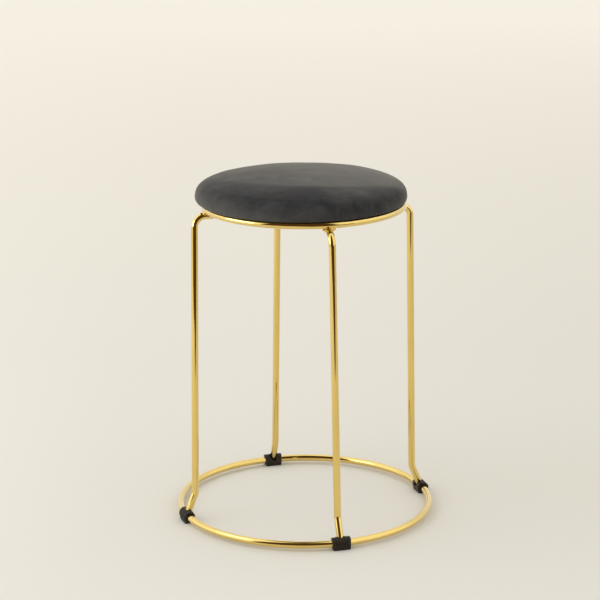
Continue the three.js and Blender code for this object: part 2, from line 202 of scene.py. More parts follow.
class StoolStudio(bpy.types.PropertyGroup):
    """The camera, the floor and the lamps"""

    camera_turn: Angle("Camera turn", "The way the camera looks, round the stool from +Y", -15.73)
    camera_pitch: Angle("Camera pitch", "How far down the camera looks", 15.018)
    camera_roll: Angle("Camera roll", "How far the camera is rolled clockwise", 0.2575)
    camera_distance: Length("Camera distance", "Distance from the stool's axis along the floor", 2811.8)
    camera_aside: Length("Camera aside", "How far left of the stool's axis the camera stands", 5.9)
    camera_height: Length("Camera height", "Height of the camera above the floor", 1062.5)
    lens: Number("Lens", "Focal length on a 36 mm sensor, in millimetres", 123.14)
    floor_size: Length("Floor size", "Side of the square floor", 30000)
    floor_color: Color("Floor", "Colour of the floor", (0.8, 0.77, 0.69))
    world_color: Color("Surroundings", "Colour of the studio's walls", (0.83, 0.785, 0.68))
    wall_light: Number("Wall light", "How bright the lit walls are in reflections", 1.25)
    room_light: Number("Room light", "How much light the whole room gives", 0.95)
    dark_light: Number("Dark light", "How bright the unlit end of the studio is", 0.09)
    card_light: Number("Card light", "How bright the card on the left is", 4)
    dark_width: Angle("Dark width", "How far the unlit end reaches to either side of its middle", 42)
    dark_turn: Angle("Dark turn", "Where the unlit end's middle is, round from the camera's side", -5)
    dark_start: Length("Dark start", "How far in front of the stool the floor goes dark", 1120)
    dark_step: Length("Dark step", "How much further out it goes dark on the left", 900)
    card_turn: Angle(
        "Card turn", "Where the card on the left stands, round from the camera's side", -68)
    key_turn: Angle("Key turn", "Where the key light stands, round from the camera's side", -80)
    key_pitch: Angle("Key pitch", "How high the key light stands", 45)
    key_reach: Length("Key reach", "How far from the stool the key light stands", 2400)
    key_size: Length("Key size", "Side of the key light", 1500)
    key_power: Number("Key power", "Power of the key light in watts", 8)


# Helpers

def new_object(name, data):
    """A new object in the scene"""
    made = bpy.data.objects.new(name, data)
    bpy.context.scene.collection.objects.link(made)
    return made


def new_piece(name, bm, material):
    """A smooth-shaded object from a bmesh, with its place in its mesh"""
    mesh = bpy.data.meshes.new(name)
    bm.to_mesh(mesh)
    bm.free()
    for polygon in mesh.polygons:
        polygon.use_smooth = True
    mesh.materials.append(material)
    return new_object(name, mesh)


def fit_in(piece, slot, *nodes):
    """Puts a finished piece in the frame, in place of its CAD nodes"""
    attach(piece, BODY)
    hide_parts(*nodes)


def apply_modifiers(piece):
    """Bakes a piece's modifiers into its mesh"""
    depsgraph = bpy.context.evaluated_depsgraph_get()
    baked = bpy.data.meshes.new_from_object(piece.evaluated_get(depsgraph))
    old = piece.data
    piece.modifiers.clear()
    piece.data = baked
    baked.name = piece.name
    bpy.data.meshes.remove(old)


def cut_away(piece, cutters):
    """Cuts other objects out of a piece, and deletes them"""
    for cutter in cutters:
        boolean = piece.modifiers.new("Cut", "BOOLEAN")
        boolean.operation = "DIFFERENCE"
        boolean.solver = "EXACT"
        boolean.object = cutter
    apply_modifiers(piece)
    for cutter in cutters:
        bpy.data.objects.remove(cutter)


def sharpen(piece, degrees):
    """Marks a piece's edges sharp where they turn by more than an angle"""
    with bpy.context.temp_override(object=piece, selected_editable_objects=[piece]):
        bpy.ops.object.shade_smooth_by_angle(angle=math.radians(degrees))


def face_out(bm):
    """Turns every face of a closed mesh outwards"""
    bmesh.ops.recalc_face_normals(bm, faces=bm.faces[:])


def round_edges(bm, edges, offset):
    """Rounds edges off with a small bevel"""
    bmesh.ops.bevel(
        bm, geom=edges, offset=offset, offset_type="OFFSET", segments=3, profile=0.5,
        affect="EDGES", material=-1)


def new_verts(made):
    """The vertices of an extruded or spun result"""
    return [item for item in made if isinstance(item, bmesh.types.BMVert)]


def far_loop(made):
    """The edges of an extruded or spun result that join its last vertices"""
    last = set(new_verts(made))
    edges = [item for item in made if isinstance(item, bmesh.types.BMEdge)]
    return [edge for edge in edges if edge.verts[0] in last and edge.verts[1] in last]


def run_straight(bm, loop, offset):
    """Extrudes a loop of edges in a straight line"""
    made = bmesh.ops.extrude_edge_only(bm, edges=loop)["geom"]
    bmesh.ops.translate(bm, verts=new_verts(made), vec=offset)
    return far_loop(made)


def run_bend(bm, loop, centre, axis, angle, steps):
    """Spins a loop of edges round a bend"""
    verts = list({vert for edge in loop for vert in edge.verts})
    made = bmesh.ops.spin(
        bm, geom=verts + loop, cent=centre, axis=axis, angle=angle, steps=steps,
        use_merge=False, use_normal_flip=False, use_duplicate=False)["geom_last"]
    return far_loop(made)


def bent_rod(corners, bends, radius, sides, bend_steps, end_bevel):
    """A round rod with rounded ends along a line of corners in the XZ plane"""
    bm = bmesh.new()
    first = (corners[1] - corners[0]).normalized()
    facing = first.to_track_quat("Z", "Y").to_matrix().to_4x4()
    start = Matrix.Translation(corners[0]) @ facing
    bmesh.ops.create_circle(bm, segments=sides, radius=radius, matrix=start)
    loop = bm.edges[:]
    place = corners[0].copy()
    for corner, following, bend in zip(corners[1:-1], corners[2:], bends):
        before = (corner - place).normalized()
        after = (following - corner).normalized()
        turn = before.angle(after)
        axis = before.cross(after).normalized()
        setback = bend * math.tan(turn / 2)
        bend_start = corner - before * setback
        loop = run_straight(bm, loop, bend_start - place)
        centre = bend_start + axis.cross(before) * bend
        loop = run_bend(bm, loop, centre, axis, turn, bend_steps)
        place = corner + after * setback
    run_straight(bm, loop, corners[-1] - place)
    ends = bmesh.ops.holes_fill(bm, edges=bm.edges[:], sides=sides)["faces"]
    round_edges(bm, list({edge for face in ends for edge in face.edges}), end_bevel)
    face_out(bm)
    return bm


def spin_round(bm, geom, steps):
    """Spins vertices and edges all the way round the Z axis"""
    bmesh.ops.spin(
        bm, geom=geom, cent=(0, 0, 0), axis=UP, angle=TURN, steps=steps, use_merge=True,
        use_normal_flip=False, use_duplicate=False)


def spun_profile(points, steps):
    """A profile of reach and height, spun round the Z axis and closed on it"""
    bm = bmesh.new()
    verts = [bm.verts.new((reach, 0, height)) for reach, height in points]
    edges = [bm.edges.new(pair) for pair in zip(verts, verts[1:])]
    spin_round(bm, verts + edges, steps)
    bmesh.ops.remove_doubles(bm, verts=bm.verts[:], dist=MERGE_DISTANCE)
    face_out(bm)
    return bm


def arc_points(reach, height, radius, start, end, steps):
    """Points of reach and height along an arc"""
    turns = [start + (end - start) * step / steps for step in range(steps + 1)]
    return [(reach + radius * math.cos(turn), height + radius * math.sin(turn)) for turn in turns]


def turned_to(turn, reach=0, height=0):
    """The place at a reach and height along a turn round the stool's axis"""
    return Matrix.Rotation(turn, 4, "Z") @ Matrix.Translation((reach, 0, height))


def soft_step(value):
    """Smoothly from 0 to 1 as the value goes from 0 to 1"""
    value = min(max(value, 0), 1)
    return value * value * (3 - 2 * value)


# Materials

# A Mix node's factor, its two colours and its result, when it mixes colours
COLOR_MIX_INPUTS = (0, 6, 7)
COLOR_MIX_OUTPUT = 2


class Graph:
    """A node tree, and short ways to add nodes to it"""

    def __init__(self, tree, coordinates):
        self.nodes = tree.nodes
        self.links = tree.links
        self.place = self.nodes.new("ShaderNodeTexCoord").outputs[coordinates]

    def feed(self, socket, value):
        """Links an input to an output, or sets it to a value"""
        if isinstance(value, bpy.types.NodeSocket):
            self.links.new(value, socket)
        elif socket.type == "RGBA":
            socket.default_value = (*value, 1)
        else:
            socket.default_value = value

    def add(self, kind, **values):
        """A new node, its inputs fed by name, with an underscore for a space"""
        node = self.nodes.new("ShaderNode" + kind)
        for name, value in values.items():
            self.feed(node.inputs[name.replace("_", " ")], value)
        return node

    def compute(self, kind, operation, *values):
        """A new maths node, its inputs fed in order"""
        node = self.add(kind)
        node.operation = operation
        for socket, value in zip(node.inputs, values):
            self.feed(socket, value)
        return node

    def join(self, operation, first, second=0):
        return self.compute("Math", operation, first, second).outputs["Value"]

    def plus(self, first, second):
        return self.join("ADD", first, second)

    def times(self, first, second):
        return self.join("MULTIPLY", first, second)

    def stretched(self, scale):
        """The coordinates, stretched by a scale along each axis"""
        mapping = self.add("Mapping", Scale=scale, Vector=self.place)
        mapping.vector_type = "TEXTURE"
        return mapping.outputs["Vector"]

    def noise(self, scale, detail=3, roughness=0.5, distortion=0, place=None):
        return self.add(
            "TexNoise", Scale=scale, Detail=detail, Roughness=roughness, Distortion=distortion,
            Vector=place or self.place).outputs["Fac"]

    def cells(self, scale):
        return self.add("TexVoronoi", Scale=scale, Vector=self.place).outputs["Distance"]

    def spread(self, value, low, high, to_low=0, to_high=1):
        """Maps the stretch between two values to another, and holds it outside"""
        return self.add(
            "MapRange", Value=value, From_Min=low, From_Max=high, To_Min=to_low,
            To_Max=to_high).outputs["Result"]

    def towards(self, way):
        """How far the coordinates point along a way"""
        return self.compute("VectorMath", "DOT_PRODUCT", self.place, way).outputs["Value"]

    def reach(self):
        """How far the coordinates are from the Z axis"""
        level = self.compute("VectorMath", "MULTIPLY", self.place, (1, 1, 0)).outputs["Vector"]
        return self.compute("VectorMath", "LENGTH", level).outputs["Value"]

    def mix(self, factor, low, high):
        """A colour between two others"""
        node = self.add("Mix")
        node.data_type = "RGBA"
        for index, value in zip(COLOR_MIX_INPUTS, (factor, low, high)):
            self.feed(node.inputs[index], value)
        return node.outputs[COLOR_MIX_OUTPUT]

    def shades(self, factor, color, dark_share, light_share):
        """A colour between two shares of one colour"""
        return self.mix(factor, tinted(color, dark_share), tinted(color, light_share))

    def room(self, color, strength):
        """A world lit all round by a colour"""
        return self.add("Background", Color=color, Strength=strength).outputs["Background"]

    def either(self, ray, others, these):
        """One surrounding for a kind of ray, and another for all the others"""
        node = self.add("MixShader")
        for socket, value in zip(node.inputs, (self.add("LightPath").outputs[ray], others, these)):
            self.feed(socket, value)
        return node.outputs["Shader"]


class Shader(Graph):
    """A new Principled material, with short ways to set its sockets"""

    def __init__(self, name, **values):
        self.material = bpy.data.materials.new(name)
        self.material.use_nodes = True
        super().__init__(self.material.node_tree, "Object")
        self.shader = self.nodes["Principled BSDF"]
        self.set(**values)

    def set(self, **values):
        """Feeds the shader's inputs by name, with an underscore for a space"""
        for name, value in values.items():
            self.feed(self.shader.inputs[name.replace("_", " ")], value)

    def bump(self, height, distance, strength=1):
        """Adds a bump on top of the ones already there"""
        node = self.add("Bump", Height=height, Distance=distance, Strength=strength)
        normal = self.shader.inputs["Normal"]
        if normal.is_linked:
            self.feed(node.inputs["Normal"], normal.links[0].from_socket)
        self.feed(normal, node.outputs["Normal"])


def tinted(color, share):
    """A colour made darker or lighter by a share"""
    return tuple(channel * share for channel in color)


def gold_material(finishes):
    """Polished gold plating under clear lacquer: a little uneven, with fine polishing haze"""
    unevenness, polish_marks = 0.06 * MM, 0.004 * MM
    gold = Shader("gold_plate", Metallic=1, Coat_Weight=1, Coat_Roughness=0.03)
    tone = gold.spread(gold.noise(14, detail=4), 0.35, 0.65)
    gold.set(
        Base_Color=gold.shades(tone, finishes.gold, 0.95, 1.03),
        Roughness=gold.spread(gold.noise(160, detail=5, distortion=0.5), 0.3, 0.75, 0.03, 0.08))
    gold.bump(gold.noise(26, detail=2), unevenness)
    gold.bump(gold.noise(1400, detail=2), polish_marks)
    return gold.material


def weld_material(finishes):
    """Plated weld metal: rippled, and less polished than the rods"""
    ripples = 0.12 * MM
    weld = Shader("weld_gold", Metallic=1)
    tone = weld.spread(weld.noise(300, detail=4), 0.3, 0.7)
    weld.set(
        Base_Color=weld.shades(tone, finishes.gold, 0.78, 1),
        Roughness=weld.spread(weld.noise(700, detail=3), 0.3, 0.7, 0.14, 0.3))
    weld.bump(weld.noise(420, detail=3), ripples)
    return weld.material


def velvet_material(finishes):
    """Charcoal velvet with brushed patches and marks; its colour carries painted sheen, lighter on the
    crown, and painted shade, darker in front and at the side
    """
    edge_bend, edge_waver, edge_start, edge_end = 14 * MM, 10 * MM, 146 * MM, 174 * MM
    crown_low, crown_high = 466 * MM, 482 * MM
    low_start, low_end = HEM_HEIGHT + 4 * MM, HEM_HEIGHT + 26 * MM
    shoulder_start, shoulder_end = HEM_HEIGHT + 19 * MM, HEM_HEIGHT + 29 * MM
    brush_marks, pile = 0.4 * MM, 0.12 * MM
    velvet = Shader(
        "velvet", Roughness=0.92, Sheen_Weight=0.25, Sheen_Roughness=0.36,
        Sheen_Tint=(0.97, 0.9, 0.8), Specular_IOR_Level=0.1)
    plus, times, spread = velvet.plus, velvet.times, velvet.spread
    patches = velvet.noise(9, detail=2)
    marks = velvet.noise(46, detail=3, roughness=0.6, distortion=0.6)
    ahead = velvet.towards((-0.39, -0.93, 0))
    aside = velvet.towards((0.96, -0.27, 0))
    height = velvet.towards(UP)
    # Where the crown's painted sheen gives way to the painted shade in front: a wavering line, further
    # back on the left
    edge = plus(ahead, velvet.reach())
    bent = plus(edge, spread(aside, -SEAT_RADIUS, 0, edge_bend, 0))
    uneven = plus(bent, spread(marks, 0.3, 0.7, -edge_waver, edge_waver))
    behind_edge = spread(uneven, edge_start, edge_end, 1, 0)
    crown = times(behind_edge, spread(height, crown_low, crown_high))
    # Painted shade on the side, darker towards the right, and painted sheen on the crown, lighter
    # towards the right, mixed by the crown's mask
    side = spread(aside, -SEAT_RADIUS, SEAT_RADIUS, 0.035, -0.06)
    top = spread(aside, -SEAT_RADIUS, SEAT_RADIUS, 0.12, 0.74)
    crown_sheen_and_side_shade = plus(side, times(crown, velvet.join("SUBTRACT", top, side)))
    # Painted light on the lower side, from the floor and from the left: strongest at the left, weak in
    # the middle, some at the far right, fading out upwards
    left = spread(aside, -SEAT_RADIUS * 0.8, SEAT_RADIUS * 0.2, 1, 0.2)
    right = spread(aside, SEAT_RADIUS * 0.45, SEAT_RADIUS, 0, 0.5)
    low = times(spread(height, low_start, low_end, 0.55, 0), velvet.join("MAXIMUM", left, right))
    # The velvet's own tone: brushed patches and marks and a fine speckle, at random
    brushed = plus(times(patches, 0.4), times(marks, 0.6))
    soft = times(spread(brushed, 0.36, 0.64, 0, 0.34), spread(crown, 0, 1, 0.8, 1))
    speckle = spread(velvet.noise(2600, detail=2), 0.3, 0.7, -0.05, 0.05)
    # Painted light and shade on the upper side, off the crown: lighter right of the middle, darker left
    # of it, fading out at the far right
    right_of_middle = times(
        spread(aside, SEAT_RADIUS * 0.1, SEAT_RADIUS * 0.45, -0.7, 1),
        spread(aside, SEAT_RADIUS * 0.92, SEAT_RADIUS * 0.76))
    shoulder = times(spread(height, shoulder_start, shoulder_end, 0, 0.17), right_of_middle)
    painted_sheen_and_shade = plus(crown_sheen_and_side_shade, times(shoulder, velvet.join("SUBTRACT", 1, crown)))
    # The velvet's colour: its painted sheen and shade and the painted light low on the side, over its
    # own random tone
    nap = plus(plus(painted_sheen_and_shade, low), plus(soft, speckle))
    velvet.set(Base_Color=velvet.mix(nap, finishes.velvet, finishes.velvet_sheen_and_brushed))
    velvet.bump(marks, brush_marks, 0.5)
    velvet.bump(velvet.noise(900, detail=3), pile, 0.6)
    return velvet.material


def plastic_material(finishes):
    """Moulded black plastic with a fine satin grain, its tone a little uneven at random"""
    grain = 0.03 * MM
    plastic = Shader("black_plastic", Specular_IOR_Level=0.24)
    tone = plastic.spread(plastic.noise(240, detail=5), 0.35, 0.7)
    plastic.set(
        Base_Color=plastic.shades(tone, finishes.plastic, 1, 1.7),
        Roughness=plastic.spread(plastic.noise(500, detail=4), 0.3, 0.7, 0.36, 0.52))
    plastic.bump(plastic.noise(2400, detail=3), grain)
    return plastic.material


def dust_material(finishes):
    """Black nonwoven cloth: pressed dots in tangled fibres"""
    dot_depth, fibre_depth = 0.12 * MM, 0.08 * MM
    dust = Shader("dust_cloth", Roughness=0.85, Specular_IOR_Level=0.2)
    fibres = dust.noise(900, detail=6, roughness=0.7, distortion=1.5)
    dots = dust.spread(dust.cells(520), 0.16, 0.36)
    tone = dust.times(dust.spread(fibres, 0.25, 0.75), dots)
    dust.set(Base_Color=dust.shades(tone, finishes.dust_cloth, 0.6, 2.2))
    dust.bump(dots, dot_depth)
    dust.bump(fibres, fibre_depth)
    return dust.material


def steel_material(finishes):
    """Zinc plated steel with faint cloudy patches"""
    crystals = 0.02 * MM
    steel = Shader("zinc_steel", Metallic=1)
    tone = steel.spread(steel.noise(450, detail=4), 0.3, 0.7)
    steel.set(
        Base_Color=steel.shades(tone, finishes.steel, 0.8, 1.08),
        Roughness=steel.spread(steel.noise(900, detail=3), 0.3, 0.7, 0.24, 0.42))
    steel.bump(steel.noise(1800, detail=2), crystals)
    return steel.material


def plywood_material(finishes):
    """Raw plywood: long grain on its face, and its plies showing at the edge"""
    pore_depth = 0.05 * MM
    wood = Shader("plywood", Roughness=0.72, Specular_IOR_Level=0.3)
    grain = wood.noise(1, detail=6, distortion=0.6, place=wood.stretched((0.09, 0.0035, 0.004)))
    pores = wood.noise(1, detail=3, place=wood.stretched((0.012, 0.0004, 0.0008)))
    tone = wood.times(wood.spread(grain, 0.3, 0.7), wood.spread(pores, 0.2, 0.6, 0.6, 1))
    wood.set(Base_Color=wood.shades(tone, finishes.plywood, 0.6, 1.15))
    wood.bump(pores, pore_depth)
    return wood.material


MATERIAL_MAKERS = {
    "gold": gold_material,
    "weld": weld_material,
    "velvet": velvet_material,
    "plastic": plastic_material,
    "dust": dust_material,
    "steel": steel_material,
    "plywood": plywood_material,
}
MATERIALS = {}


def material(name):
    """One of the stool's materials, made the first time that it is asked for"""
    if name not in MATERIALS:
        MATERIALS[name] = MATERIAL_MAKERS[name](bpy.context.scene.stool_finishes)
    return MATERIALS[name]


# Frame pieces

ROD_SIDES = 40
ROD_BEND_STEPS = 18
RING_STEPS = 288


def add_ring(name, node, ring_radius, height):
    """A round rod bent into a closed ring"""
    bm = bmesh.new()
    section = Matrix.Translation((ring_radius, 0, height)) @ Matrix.Rotation(QUARTER, 4, "X")
    bmesh.ops.create_circle(bm, segments=ROD_SIDES, radius=ROD_RADIUS, matrix=section)
    spin_round(bm, bm.verts[:] + bm.edges[:], RING_STEPS)
    face_out(bm)
    fit_in(new_piece(name, bm, material("gold")), "gold_plate", node)


def arm_height(sizes):
    """The height of the arms' middle lines"""
    return TOP_RING_HEIGHT - 2 * ROD_RADIUS - sizes.crossing_gap


def leg_turns(name):
    """The turns of a leg's arm and foot round the stool's axis"""
    quarter, arm_turn, foot_turn, _ = LEGS[name]
    square = quarter * QUARTER
    return square + math.radians(arm_turn), square + math.radians(foot_turn)


def add_leg(name, sizes):
    """One leg: its arm, knee, long run, ankle and foot, leant sideways to where its foot lands"""
    arm_turn, foot_turn = leg_turns(name)
    ankle_out = LEGS[name][3]
    end_bevel = 0.6 * MM
    foot_end = 0.55 * ROD_RADIUS
    lean = foot_turn - arm_turn
    top = arm_height(sizes)
    corners = [
        Vector((TOP_RING_RADIUS - sizes.arm_past_ring, 0, top)),
        Vector((TOP_RING_RADIUS + sizes.knee_outset, 0, top)),
        Vector((BASE_RING_RADIUS - sizes.ankle_inset + ankle_out, 0, sizes.ankle_height)),
        Vector((BASE_RING_RADIUS * math.cos(lean), 0, BASE_RING_HEIGHT)),
    ]
    corners[3] -= (corners[3] - corners[2]).normalized() * foot_end
    bends = [sizes.knee_bend, sizes.ankle_bend]
    bm = bent_rod(corners, bends, ROD_RADIUS, ROD_SIDES, ROD_BEND_STEPS, end_bevel)
    slope = BASE_RING_RADIUS * math.sin(lean) / (top - BASE_RING_HEIGHT)
    leant = Matrix.Identity(4)
    leant[1][2] = -slope
    leant[1][3] = slope * top
    bm.transform(turned_to(arm_turn) @ leant)
    fit_in(new_piece(f"leg_rod_{name}", bm, material("gold")), "gold_plate", f"leg_{name}")


def add_weld(name, sizes):
    """The bead where a leg's arm crosses under the top ring"""
    ripple, coarse_scale, fine_scale = 0.09, 1.7, 5
    arm_turn, _ = leg_turns(name)
    height = (TOP_RING_HEIGHT + arm_height(sizes)) / 2
    bm = bmesh.new()
    bmesh.ops.create_icosphere(bm, subdivisions=5, radius=1)
    for vert in bm.verts:
        coarse = noise.noise(vert.co * coarse_scale + UP * arm_turn)
        fine = noise.noise(vert.co * fine_scale + UP * arm_turn)
        vert.co *= 1 + ripple * (coarse + fine / 2)
    half = Vector((sizes.weld_width, sizes.weld_length, sizes.weld_height)) / 2
    bmesh.ops.scale(bm, vec=half, verts=bm.verts[:])
    bm.transform(turned_to(arm_turn, TOP_RING_RADIUS - sizes.weld_inset, height))
    fit_in(new_piece(f"weld_bead_{name}", bm, material("weld")), "weld_gold", f"weld_{name}")


class STOOL_OT_rings(bpy.types.Operator):
    """Add the base ring and the ring under the seat"""

    bl_idname = "stool.rings"
    bl_label = "Rings"

    def execute(self, context):
        add_ring("floor_ring", "base_ring", BASE_RING_RADIUS, BASE_RING_HEIGHT)
        add_ring("seat_ring", "top_ring", TOP_RING_RADIUS, TOP_RING_HEIGHT)
        return {"FINISHED"}


class STOOL_OT_legs(bpy.types.Operator):
    """Add the four bent legs"""

    bl_idname = "stool.legs"
    bl_label = "Legs"

    def execute(self, context):
        for name in LEGS:
            add_leg(name, context.scene.stool_frame)
        return {"FINISHED"}


class STOOL_OT_welds(bpy.types.Operator):
    """Add the weld beads under the top ring"""

    bl_idname = "stool.welds"
    bl_label = "Welds"

    def execute(self, context):
        for name in LEGS:
            add_weld(name, context.scene.stool_frame)
        return {"FINISHED"}


# Foot clips

def clip_outline(sizes):
    """The clip's section: reach and height from the rod's middle, open at its slit"""
    outer_steps, edge_steps, inner_steps, bore_steps = 64, 6, 32, 64
    bore_gap = 0.15 * MM
    outer = ROD_RADIUS + sizes.wall
    bore = ROD_RADIUS + bore_gap
    slit, shoulder, edge = sizes.slit_turn, sizes.shoulder_turn, sizes.edge
    half = sizes.slit / 2
    sole = sizes.sole_width / 2
    low = edge - BASE_RING_HEIGHT
    return [
        *arc_points(0, 0, outer, slit - half / outer, -shoulder, outer_steps),
        *arc_points(sole, low, edge, 0, -QUARTER, edge_steps),
        *arc_points(-sole, low, edge, -QUARTER, -2 * QUARTER, edge_steps),
        *arc_points(0, 0, outer, shoulder - TURN / 2, slit + half / outer - TURN, inner_steps),
        *arc_points(0, 0, bore, slit + half / bore - TURN, slit - half / bore, bore_steps),
    ]


def groove_depth(along, sizes):
    """How deep the grooves are at a place along the clip"""
    pitch = sizes.grooved_share * sizes.length / (sizes.groove_count - 1)
    nearest = round(along / pitch)
    if abs(nearest) > (sizes.groove_count - 1) / 2:
        return 0
    offset = abs(along - nearest * pitch) / (sizes.groove_width / 2)
    return sizes.groove_depth * soft_step(1 - offset)


def rim_height(reach, along, height, sizes):
    """How far the moulded rim round the notch stands up at a place on the outside"""
    radius = sizes.notch_width / 2
    fade = 3 * sizes.rim
    outwards = max(reach + sizes.notch_inset, 0)
    down = max(sizes.notch_floor + radius - height, 0)
    distance = math.hypot(along, down, outwards) - radius
    return sizes.rim * soft_step(1 - abs(distance - sizes.rim) / fade)


def clip_sleeve(sizes):
    """A straight clip, with its grooves, rim and rounded ends moulded in"""
    steps = 104
    side_rate, low_share, low_rate, toe_rate, toe_start = 3, 0.72, 6, 3, 2
    bm = bmesh.new()
    start = -sizes.length / 2
    verts = [bm.verts.new((reach, start, height)) for reach, height in clip_outline(sizes)]
    loop = [bm.edges.new(pair) for pair in zip(verts, verts[1:] + verts[:1])]
    for _ in range(steps):
        loop = run_straight(bm, loop, (0, sizes.length / steps, 0))
    bmesh.ops.holes_fill(bm, edges=bm.edges[:], sides=len(verts))
    outer = ROD_RADIUS + sizes.wall
    for vert in bm.verts:
        reach, along, height = vert.co
        section = Vector((reach, height))
        if section.length < ROD_RADIUS + sizes.wall / 2:
            continue
        outside = soft_step(reach / outer * side_rate)
        outside *= soft_step((height + outer * low_share) / outer * low_rate)
        end = max(abs(along) + sizes.edge - sizes.length / 2, 0) / sizes.edge
        drawn_in = groove_depth(along, sizes) * outside
        drawn_in -= rim_height(reach, along, height, sizes) * (height > 0)
        drawn_in += sizes.edge * (1 - math.sqrt(1 - min(end, 1) ** 2)) * (height > -ROD_RADIUS)
        section.length -= drawn_in
        vert.co.x, vert.co.z = section
        at_waist = soft_step(1 - abs(height) / outer)
        at_sole = soft_step(-toe_rate * height / BASE_RING_HEIGHT - toe_start)
        vert.co.y *= 1 - 2 * (sizes.waist * at_waist + sizes.toe * at_sole) / sizes.length
    face_out(bm)
    return bm


def clip_notches(sizes):
    """A rounded channel towards the stool's axis, and the shaft at its outer end"""
    sides = 64
    upper_half = 0.01 * MM
    radius = sizes.notch_width / 2
    middle = sizes.notch_floor + radius
    above = 2 * (ROD_RADIUS + sizes.wall)
    channel = bmesh.new()
    flat = Matrix.Translation((-sizes.notch_inset, 0, middle)) @ Matrix.Rotation(QUARTER, 4, "Y")
    bmesh.ops.create_circle(channel, segments=sides, radius=radius, matrix=flat)
    raised = [vert for vert in channel.verts if vert.co.z > middle + upper_half]
    bmesh.ops.translate(channel, verts=raised, vec=(0, 0, above))
    run_straight(channel, channel.edges[:], (-above, 0, 0))
    bmesh.ops.holes_fill(channel, edges=channel.edges[:], sides=sides)
    face_out(channel)
    shaft = bmesh.new()
    place = Matrix.Translation((-sizes.notch_inset, 0, above / 2))
    bmesh.ops.create_cone(
        shaft, cap_ends=True, segments=sides, radius1=radius, radius2=radius, depth=above,
        matrix=place)
    return channel, shaft


def bend_round_ring(piece, turn):
    """Bends a straight clip to the base ring and turns it to its place"""
    for vert in piece.data.vertices:
        reach, along, height = vert.co
        bearing = turn + along / BASE_RING_RADIUS
        reach += BASE_RING_RADIUS
        vert.co = (reach * math.cos(bearing), reach * math.sin(bearing), height + BASE_RING_HEIGHT)


def add_clip(name, sizes):
    """One foot clip: a grooved sleeve with a notch for the leg"""
    clip = new_piece(f"clip_{name}", clip_sleeve(sizes), material("plastic"))
    notches = [new_piece("notch", bm, material("plastic")) for bm in clip_notches(sizes)]
    cut_away(clip, notches)
    bend_round_ring(clip, leg_turns(name)[1])
    sharpen(clip, degrees=40)
    fit_in(clip, "black_plastic", f"foot_clip_{name}")


class STOOL_OT_foot_clips(bpy.types.Operator):
    """Add the moulded clips under the base ring"""

    bl_idname = "stool.foot_clips"
    bl_label = "Foot clips"

    def execute(self, context):
        for name in LEGS:
            add_clip(name, context.scene.stool_clips)
        return {"FINISHED"}


# Seat fixings

def fixing_turn(number):
    """The turn of a seat tab, halfway between two legs"""
    return (number - 0.5) * QUARTER


def add_tab(number, sizes):
    """One seat tab: a plate with a round end and a screw hole, welded inside the top ring"""
    sides = 48
    edge_bevel = 0.35 * MM
    corner = math.radians(60)
    hole_reach = TOP_RING_RADIUS - sizes.tab_reach
    bm = bmesh.new()
    place = Matrix.Translation((hole_reach, 0, TAB_BOX[0].z))
    bmesh.ops.create_circle(bm, segments=sides, radius=sizes.tab_width / 2, matrix=place)
    for vert in bm.verts:
        if vert.co.x > hole_reach:
            vert.co.x = min(vert.co.x + sizes.tab_reach, TOP_RING_RADIUS)
    rim = bm.edges[:]
    bmesh.ops.create_circle(bm, segments=sides, radius=sizes.tab_hole / 2, matrix=place)
    hole = [edge for edge in bm.edges if edge not in set(rim)]
    bmesh.ops.bridge_loops(bm, edges=rim + hole)
    made = bmesh.ops.extrude_face_region(bm, geom=bm.faces[:], use_keep_orig=True)["geom"]
    bmesh.ops.translate(bm, verts=new_verts(made), vec=(0, 0, TAB_BOX[1].z - TAB_BOX[0].z))
    face_out(bm)
    sharp = [edge for edge in bm.edges if edge.is_manifold and edge.calc_face_angle() > corner]
    round_edges(bm, sharp, edge_bevel)
    bm.transform(turned_to(fixing_turn(number)))
    tab = new_piece(f"tab_plate_{number}", bm, material("gold"))
    sharpen(tab, degrees=35)
    fit_in(tab, "gold_plate", f"seat_tab_{number}")


def screw_mesh(sizes):
    """A pan head screw with a blunt point, on the Z axis at its own heights"""
    sides, crown_steps, flat_share = 48, 8, 1.6
    head_height, crown, point = 2.6 * MM, 1.1 * MM, 2.4 * MM
    dish, edge = 0.08 * MM, 0.2 * MM
    bottom, tip = SCREW_BOX[0].z, SCREW_BOX[1].z
    head, shank = sizes.screw_head / 2, sizes.screw_shank / 2
    return spun_profile([
        (0, bottom),
        (head - flat_share * crown, bottom + dish),
        *arc_points(head - crown, bottom + crown, crown, -QUARTER, 0, crown_steps),
        (head, bottom + head_height - edge),
        (head - edge, bottom + head_height),
        (shank, bottom + head_height),
        (shank, tip - point),
        (0, tip),
    ], sides)


def cross_recess():
    """The two tapered slots of a screw's cross recess"""
    width, length, depth, floor_share = 1.1 * MM, 4.6 * MM, 1.5 * MM, 0.6
    slots = []
    for turn in (0, QUARTER):
        bm = bmesh.new()
        size = Matrix.Diagonal((length, width, 2 * depth, 1))
        bmesh.ops.create_cube(bm, size=1, matrix=turned_to(turn, 0, SCREW_BOX[0].z) @ size)
        for vert in bm.verts:
            if vert.co.z > SCREW_BOX[0].z:
                vert.co.xy *= floor_share
        slots.append(new_piece("slot", bm, material("steel")))
    return slots


def add_screw(number, sizes):
    """One screw up through its tab, stopped at a turn of its own"""
    turn_between = 1.1
    screw = new_piece(f"pan_screw_{number}", screw_mesh(sizes), material("steel"))
    cut_away(screw, cross_recess())
    place = turned_to(fixing_turn(number), TOP_RING_RADIUS - sizes.tab_reach)
    screw.data.transform(place @ turned_to(number * turn_between))
    sharpen(screw, degrees=35)
    fit_in(screw, "zinc_steel", f"seat_screw_{number}")


